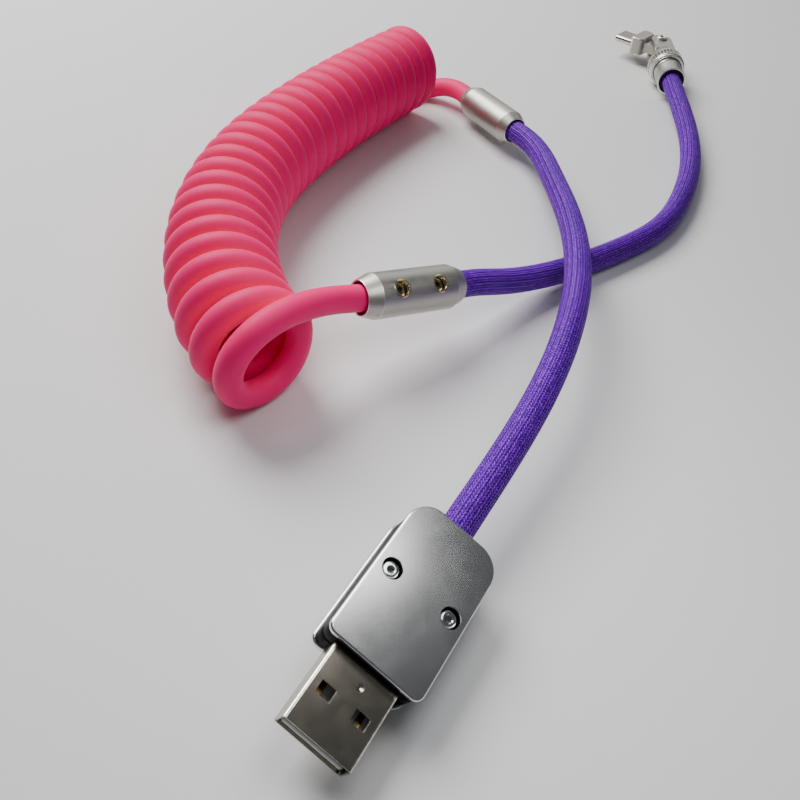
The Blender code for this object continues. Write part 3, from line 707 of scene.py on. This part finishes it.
core_inset, seat, parting = 0.25, 4.2, 0.04
core_outline = rounded_outline(
    BODY_W - 2 * core_inset, SHELL_OUT + core_inset, BODY_REAR - core_inset, FRONT_R, REAR_R)
for name, node, z_from, z_to in (
        ("upper_core", "usb_a_core_upper", BODY_MID + parting, BODY_TOP - PLATE_T - 0.05),
        ("lower_core", "usb_a_core_lower", BODY_BOTTOM + PLATE_T + 0.05, BODY_MID - parting)):
    cuts = [
        block(-6.05, 6.05, SHELL_OUT - 1, SHELL_LEN + 0.3, -0.05, SHELL_H + 0.05),
        block(-3.6, 3.6, SHELL_LEN, 35.6, -0.3, SHELL_H + 0.3),
        *screw_holes(0.9, z_from - 1, z_to + 1)]
    sleeve_bore = rod(3.12, 6)
    sleeve_bore.transform(Matrix.Translation((0, 35.2, BODY_MID)))
    cuts.append(sleeve_bore)
    if z_to > seat:
        cuts += screw_holes(SCREW_HOLE_R - 0.1, seat, z_to + 1)
    make_piece(
        name, slab(core_outline, z_from, z_to), [("ease", 0.28, 4, 50), ("cut", cuts)],
        usb_a, black_plastic, "cable", "black_plastic", node)


def pan_head_screw(name, node, place, x, y, head_r, head_top, head_t, shank_r, shank_end, body):
    """A screw along Z with a domed edge, a countersunk hexagon socket and an eased rim."""
    shank_top, dome_r, rim = head_top - head_t, 0.38, 0.05
    dome = [(head_r - dome_r * (1 - math.cos(a)), head_top - dome_r * (1 - math.sin(a)))
            for a in np.linspace(0, math.pi / 2, 8)]
    profile = [(0, shank_end), (shank_r, shank_end), (shank_r, shank_top),
               (head_r - rim, shank_top), (head_r, shank_top + rim), *dome, (0, head_top)]
    hexagon = upright(rod(head_r * 0.47, 3, 6), x, y, head_top - head_t * 0.6)
    cone_h, cone_deep = 0.25, 0.14
    cone = turned(((0, 0), (head_r * 0.40, 0), (head_r * 0.60, cone_h), (0, cone_h)), 48,
                  closed=False)
    countersink = upright(cone, x, y, head_top - cone_deep)
    make_piece(
        name, upright(turned(profile, 64, closed=False), x, y, 0),
        [("cut", [hexagon, countersink])], place, screw_steel, body, "screw_steel", node)


screw_top = BODY_TOP - 0.62
for number, side in enumerate((-1, 1), 1):
    pan_head_screw(
        f"clamshell_screw_{number}", f"usb_a_screw_{number}", usb_a, side * SCREW_X, SCREW_Y,
        head_r=1.42, head_top=screw_top, head_t=screw_top - seat - 0.02, shank_r=0.8,
        shank_end=BODY_BOTTOM + 0.2, body="cable")


# ---- Joiners
# Each is a bar of aluminium, turned, bored, coned at both ends and bead blasted. Two threaded
# brass inserts are pressed into its side, and their set screws hold the sleeve and the pink cord.
JOINERS = (
    ((-12.1, 47.0, 7.4), (-25.7, 68.0, 6.2), 150.0),    # sleeve end, coil end, turn of the holes
    ((-27.8, -39.2, 12.4), (-47.4, -53.9, 17.3), -42.5),
)
JOINER_R, JOINER_LEN, JOINER_CONE, JOINER_END_R, JOINER_BORE_R = 4.8, 25.0, 3.0, 3.75, 3.4
JOINER_HOLE_Y, INSERT_R, INSERT_LOW, INSERT_TOP = 4.8, 1.95, 3.45, 5.2
THREAD_R, THREAD_PITCH, THREAD_DEEP = 1.58, 0.30, 0.07
SET_SCREW_R, SET_SCREW_LOW, SET_SCREW_TOP = 1.48, 3.05, 3.6

blasted_aluminium = metal(
    "bead_blasted_aluminium", (0.47, 0.455, 0.41), (0.93, 0.92, 0.90), (0.40, 0.48),
    grain_mm=0.16, depth_mm=0.010, scratches=0.15)
brass = metal(
    "machined_brass", (0.72, 0.56, 0.27), (1.0, 0.92, 0.70), (0.26, 0.34), grain_mm=0.25,
    depth_mm=0.001, scratches=0.5)
dark_screw = metal(
    "blackened_set_screw", (0.10, 0.085, 0.06), (0.40, 0.34, 0.22), (0.28, 0.38), grain_mm=0.25,
    depth_mm=0.001, scratches=0.5)


def placed_along(start, end, turn):
    """A place at start whose +Y points at end, turned about that axis."""
    direction = Vector(end) - Vector(start)
    heading = math.degrees(math.atan2(-direction.x, direction.y))
    rise = math.degrees(math.asin(direction.z / direction.length))
    return placed(start, (rise, turn, heading))


def barrel(number, joiner, hole_ys):
    """The joiner's body. It is the same at both ends."""
    inner_edge, outer_edge, shoulder = 0.12, 0.10, 0.05
    half = (
        (JOINER_BORE_R, inner_edge), (JOINER_BORE_R + inner_edge, 0),
        (JOINER_END_R - outer_edge, 0), (JOINER_END_R, outer_edge),
        (JOINER_R - 0.03, JOINER_CONE - shoulder), (JOINER_R, JOINER_CONE + shoulder))
    other_half = [(radius, JOINER_LEN - y) for radius, y in reversed(half)]
    make_piece(
        f"barrel_{number}", turned((*half, *other_half), 128),
        [("cut", [upright(rod(INSERT_R + 0.03, 4, 64), 0, y, 2.5) for y in hole_ys]),
         ("ease", 0.04, 2, 60)],
        joiner, blasted_aluminium, "cable", "satin_aluminium", f"joiner_{number}_barrel")


def clamp_insert(number, joiner, hole, y):
    """A threaded sleeve in the barrel's side, cut flush with the barrel."""
    thread = []
    for ridge in np.arange(INSERT_LOW + THREAD_PITCH, INSERT_TOP, THREAD_PITCH):
        thread += [(THREAD_R, ridge - THREAD_PITCH / 2), (THREAD_R - THREAD_DEEP, ridge)]
    profile = ((INSERT_R, INSERT_LOW), (INSERT_R, INSERT_TOP), (THREAD_R, INSERT_TOP),
               *thread[::-1], (THREAD_R, INSERT_LOW))
    flush = rod(JOINER_R + 0.015, JOINER_LEN, 128)
    make_piece(
        f"insert_{number}_{hole}", upright(turned(profile, 64), 0, y, 0),
        [("keep", [flush]), ("ease", 0.06, 2, 60)], joiner, brass, "cable", "brass",
        f"joiner_{number}_insert_{hole}")


def set_screw(number, joiner, hole, y):
    """A headless screw with a hexagon socket, at the bottom of an insert."""
    chamfer, socket_r, socket_deep = 0.15, 0.6, 0.4
    profile = ((0, SET_SCREW_LOW), (SET_SCREW_R, SET_SCREW_LOW),
               (SET_SCREW_R, SET_SCREW_TOP - chamfer), (SET_SCREW_R - chamfer, SET_SCREW_TOP),
               (0, SET_SCREW_TOP))
    socket = upright(rod(socket_r, 2, 6), 0, y, SET_SCREW_TOP - socket_deep)
    make_piece(
        f"set_screw_{number}_{hole}", upright(turned(profile, 64, closed=False), 0, y, 0),
        [("cut", [socket])], joiner, dark_screw, "cable", "screw_steel",
        f"joiner_{number}_set_screw_{hole}")


for number, (start, end, turn_angle) in enumerate(JOINERS, 1):
    joiner = placed_along(start, end, turn_angle)
    hole_ys = [JOINER_LEN / 2 + side * JOINER_HOLE_Y for side in (-1, 1)]
    barrel(number, joiner, hole_ys)
    for hole, y in enumerate(hole_ys, 1):
        clamp_insert(number, joiner, hole, y)
        set_screw(number, joiner, hole, y)


# ---- Swivel of the USB-C plug
# A turned collar with a flared lip holds the cable in a rubber grommet. A knurled ring and a
# fork, all bead-blasted aluminium, turn together on the collar's stem.
USB_C_PLACE = (43.2, 99.6, 6.3)
COLLAR_LEN, COLLAR_R, STEM_R, SLEEVE_BORE = 8.4, 4.6, 2.6, 3.1
RING_R, RING_LEN, RING_TEETH = 6.0, 6.0, 36
PIVOT_Y, FORK_H, FORK_SLOT, NECK_R = 28.7, 7.6, 3.8, 3.5

rubber = grainy_material(
    "matt_black_rubber", (0.012, 0.012, 0.013), 0.2, (0.6, 0.75), grain_mm=0.12, depth_mm=0.01,
    specular_ior_level=0.35)

usb_c = placed(USB_C_PLACE)
collar_profile = (
    (4.1, 0.1), (4.2, 0), (4.62, 0), (4.74, 0.06), (4.75, 0.2), (4.72, 0.7), (4.62, 1.05),
    (4.45, 1.6), (4.38, 2.4), (4.40, 3.6), (4.50, 5.0), (4.58, 6.0), (4.6, 6.4), (4.6, 7.4),
    (4.55, 7.5), (4.48, 7.55), (4.48, 7.8), (4.55, 7.85), (4.6, 7.95), (4.6, COLLAR_LEN - 0.08),
    (4.52, COLLAR_LEN), (STEM_R, COLLAR_LEN), (STEM_R, COLLAR_LEN + 6.3), (1.4, COLLAR_LEN + 6.3),
    (1.4, 8.0), (SLEEVE_BORE, 8.0), (SLEEVE_BORE, 2.3), (4.1, 2.3))
make_piece(
    "collar", turned(collar_profile, 128), [], usb_c, blasted_aluminium, "cable",
    "satin_aluminium", "usb_c_collar")
grommet_profile = ((SLEEVE_BORE, 0.35), (3.25, 0.12), (3.6, 0.1), (4.0, 0.35), (4.08, 0.8),
                   (4.08, 2.2), (SLEEVE_BORE, 2.2))
make_piece(
    "grommet", turned(grommet_profile, 96), [], usb_c, rubber, "cable", "rubber",
    "usb_c_grommet")

ring_from, ring_bore = COLLAR_LEN + 0.3, 4.9
ring_to = ring_from + RING_LEN
knurl_from, knurl_to = ring_from + 1.3, ring_to - 1.5
tooth_steps, groove = 6, 0.60
ring_profile = (
    (ring_bore, ring_from), (RING_R - 0.45, ring_from), (RING_R - 0.3, ring_from + 0.15),
    (RING_R - 0.3, ring_from + 0.8), (RING_R - 0.05, ring_from + 1.05), (RING_R, knurl_from - 0.1),
    (RING_R, knurl_from), (RING_R, knurl_to), (RING_R, knurl_to + 0.1), (RING_R, ring_to - 0.6),
    (RING_R - 0.12, ring_to - 0.3), (RING_R - 0.5, ring_to), (ring_bore, ring_to))
knurl = turned(ring_profile, RING_TEETH * tooth_steps)
for vert in knurl.verts:
    out = math.hypot(vert.co.x, vert.co.z)
    column = round(math.atan2(vert.co.z, vert.co.x) / (2 * math.pi) * RING_TEETH * tooth_steps)
    valley = (groove, groove * 0.75, 0.0, 0.0, 0.0, groove * 0.75)[column % tooth_steps]
    if out > RING_R - 0.01 and knurl_from - 0.01 < vert.co.y < knurl_to + 0.01:
        vert.co.x *= (out - valley) / out
        vert.co.z *= (out - valley) / out
make_piece(
    "knurled_ring", knurl, [], usb_c, blasted_aluminium, "swivel_base", "satin_aluminium",
    "usb_c_knurled_ring")

slot_from, fork_bore, bore_end, neck_end = 22.0, STEM_R + 0.15, 15.1, 21.5
fork_profile = (
    (fork_bore, ring_from), (COLLAR_R, ring_from), (COLLAR_R, 15.0), (5.3, 15.0), (5.4, 15.1),
    (5.4, 15.9), (5.33, 16.2), (4.9, 17.6), (4.5, 19.2), (4.2, 20.3), (3.9, neck_end),
    (0, neck_end), (0, bore_end), (fork_bore, bore_end))
fork_shape = turned(fork_profile, 96, closed=False)
bmesh.ops.bridge_loops(fork_shape, edges=[edge for edge in fork_shape.edges if edge.is_boundary])
arms = slab(rounded_outline(2 * NECK_R, 20.0, PIVOT_Y + NECK_R, 0.5, NECK_R - 0.01, 24),
            -FORK_H / 2, FORK_H / 2)
make_piece(
    "fork", fork_shape,
    [("add", [arms]),
     ("cut", [block(-8, 8, slot_from, PIVOT_Y + 8, -FORK_SLOT / 2, FORK_SLOT / 2),
              upright(rod(1.1, 20), 0, PIVOT_Y, -10)]),
     ("ease", 0.22, 4, 50)],
    usb_c, blasted_aluminium, "swivel_base", "satin_aluminium", "usb_c_fork")
pan_head_screw(
    "pivot_screw", "usb_c_pivot_screw", usb_c, 0, PIVOT_Y, head_r=1.9, head_top=FORK_H / 2 + 0.85,
    head_t=0.83, shank_r=1.0, shank_end=-FORK_H / 2 + 0.1, body="swivel_base")


# ---- Folding head of the USB-C plug
# A small aluminium housing turns on the pivot screw by its tongue. The plug's steel shell is
# drawn in one piece with round ends, and stands in a pocket of the housing.
REST_ANGLE = 54.4
HEAD_W, HEAD_H, HEAD_FROM, HEAD_TO = 10.6, 6.0, 4.6, 9.6
C_SHELL_W, C_SHELL_H, C_SHELL_FROM, C_SHELL_TO = 8.25, 2.4, 7.4, 16.1

head = usb_c @ placed((0, PIVOT_Y, 0), (0, 0, REST_ANGLE))
hinge_r, tongue_half = 3.3, 1.6
tongue = slab(rounded_outline(2 * hinge_r, -hinge_r, HEAD_FROM + 1, hinge_r - 0.01, 0.3, 24),
              -tongue_half, tongue_half)
pocket = slab(rounded_outline(C_SHELL_W + 0.16, -C_SHELL_H / 2 - 0.08, C_SHELL_H / 2 + 0.08,
                              C_SHELL_H / 2, C_SHELL_H / 2), 5.4, HEAD_TO + 1)
pocket.transform(SWAP_Y_Z)
make_piece(
    "head_housing",
    slab(rounded_outline(HEAD_W, HEAD_FROM, HEAD_TO, 2.2, 1.2), -HEAD_H / 2, HEAD_H / 2),
    [("ease", 0.6, 5, 50), ("add", [tongue]), ("cut", [upright(rod(1.1, 10), 0, 0, -5), pocket]),
     ("ease", 0.1, 3, 60)],
    head, blasted_aluminium, "usb_c_head", "satin_aluminium", "usb_c_housing")
round_r = C_SHELL_H / 2 - 0.01
c_shell = slab(rounded_outline(C_SHELL_W, -C_SHELL_H / 2, C_SHELL_H / 2, round_r, round_r),
               C_SHELL_FROM, C_SHELL_TO)
c_hollow = slab(rounded_outline(
    C_SHELL_W - 2 * SHELL_WALL, -C_SHELL_H / 2 + SHELL_WALL, C_SHELL_H / 2 - SHELL_WALL,
    round_r - SHELL_WALL, round_r - SHELL_WALL), C_SHELL_FROM - 1, C_SHELL_TO + 1)
for shape in (c_shell, c_hollow):
    shape.transform(SWAP_Y_Z)
make_piece(
    "shell_of_usb_c", c_shell, [("cut", [c_hollow]), ("ease", 0.09, 3, 60)], head, plug_steel,
    "usb_c_head", "plug_steel", "usb_c_shell")


# ---- Inside of the plugs and joiners
# Contacts, their carriers, boards, the crimp ring, inner cable and splices. They keep the
# frame's own shapes, and only get their finishes here.
gold = metal("gold_plated_contacts", (0.86, 0.60, 0.22), (0.98, 0.80, 0.45), (0.16, 0.26),
             grain_mm=0.2, depth_mm=0.0008, scratches=0.6)
white_plastic = grainy_material(
    "white_moulded_plastic", (0.72, 0.72, 0.69), 0.03, (0.38, 0.5), grain_mm=0.3, depth_mm=0.003)
green_board = grainy_material(
    "green_solder_mask", (0.010, 0.13, 0.05), 0.25, (0.28, 0.4), grain_mm=0.6, depth_mm=0.004)
cable_jacket = grainy_material(
    "black_jacket", (0.03, 0.03, 0.032), 0.15, (0.45, 0.6), grain_mm=0.25, depth_mm=0.008)
KEPT = {
    gold: ("usb_a_contact_1", "usb_a_contact_2", "usb_a_contact_3", "usb_a_contact_4",
           "usb_c_contacts_upper", "usb_c_contacts_lower"),
    white_plastic: ("usb_a_tongue",),
    green_board: ("usb_a_board", "usb_c_board"),
    cable_jacket: ("usb_a_inner_cable", "joiner_1_splice", "joiner_2_splice"),
    satin_aluminium: ("usb_a_crimp_ring",),
    rubber: ("usb_c_insulator",),
}
for material, names in KEPT.items():
    for name in names:
        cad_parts[name].material_slots[0].material = material
